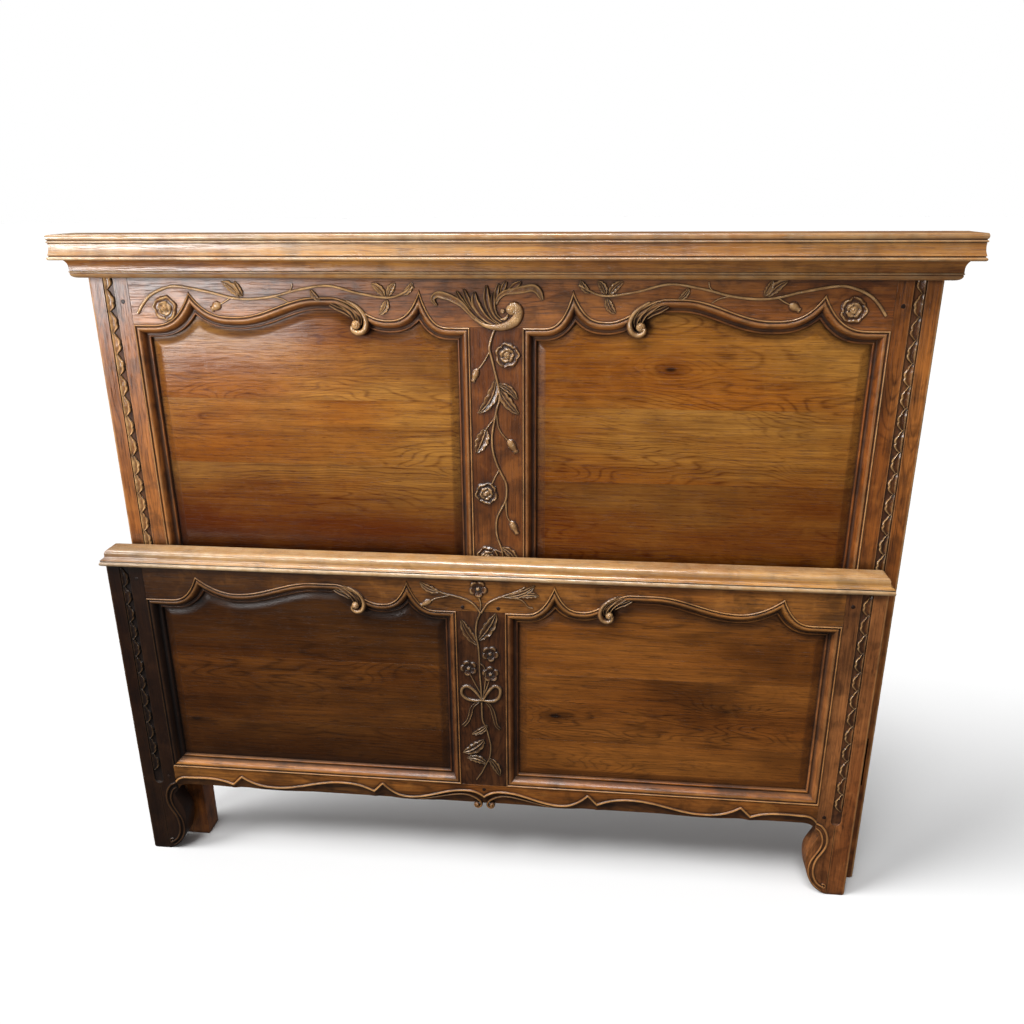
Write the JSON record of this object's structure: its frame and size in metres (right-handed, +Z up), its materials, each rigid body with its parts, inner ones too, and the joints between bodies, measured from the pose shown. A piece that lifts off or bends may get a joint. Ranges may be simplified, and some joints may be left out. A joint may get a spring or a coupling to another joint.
{
  "type": "panelled bed ends",
  "caption": "Carved oak headboard with a moulded cornice and matching low panelled footboard, frame-and-panel, made to take hook-on side rails.",
  "frame": {"origin": "on the floor, in the middle of the box round the headboard and the footboard as they stand together", "axes": "+X across the bed to the right as seen from the foot, +Y from footboard to headboard, +Z up"},
  "size_m": [1.694, 0.116, 1.399],
  "materials": {
    "post_wood": "stained oak, satin wax",
    "rail_wood": "stained oak, satin wax, dark in the carving",
    "panel_wood": "stained oak, satin wax",
    "cornice_wood": "stained oak, worn lighter, satin wax",
    "cap_wood": "stained oak, worn lighter, satin wax",
    "peg_wood": "dark end grain",
    "hook_plate_iron": "dark, slightly rusted",
    "screw_steel": "dull"
  },
  "bodies": {
    "headboard": {"headboard_left_post": "post_wood", "headboard_right_post": "post_wood", "headboard_top_rail": "rail_wood", "headboard_bottom_rail": "rail_wood", "headboard_muntin": "rail_wood", "headboard_left_panel": "panel_wood", "headboard_right_panel": "panel_wood", "headboard_pegs": "peg_wood", "bed_mould_front": "cornice_wood", "bed_mould_left_return": "cornice_wood", "bed_mould_right_return": "cornice_wood", "crown_front": "cornice_wood", "crown_left_return": "cornice_wood", "crown_right_return": "cornice_wood", "crown_top_board": "cornice_wood", "headboard_left_hook_plate": "hook_plate_iron", "headboard_right_hook_plate": "hook_plate_iron", "headboard_plate_screws": "screw_steel"},
    "footboard": {"footboard_left_post": "post_wood", "footboard_right_post": "post_wood", "footboard_top_rail": "rail_wood", "footboard_apron": "rail_wood", "footboard_muntin": "rail_wood", "footboard_left_panel": "panel_wood", "footboard_right_panel": "panel_wood", "footboard_pegs": "peg_wood", "footboard_cap": "cap_wood", "footboard_cap_dowels": "peg_wood", "footboard_left_hook_plate": "hook_plate_iron", "footboard_right_hook_plate": "hook_plate_iron", "footboard_plate_screws": "screw_steel"}
  },
  "joints": [
    {"name": "footboard_set_out", "type": "slide", "parent": "headboard", "child": "footboard", "axis": [0, -1, 0], "range_m": [0, 1.98]}
  ]
}
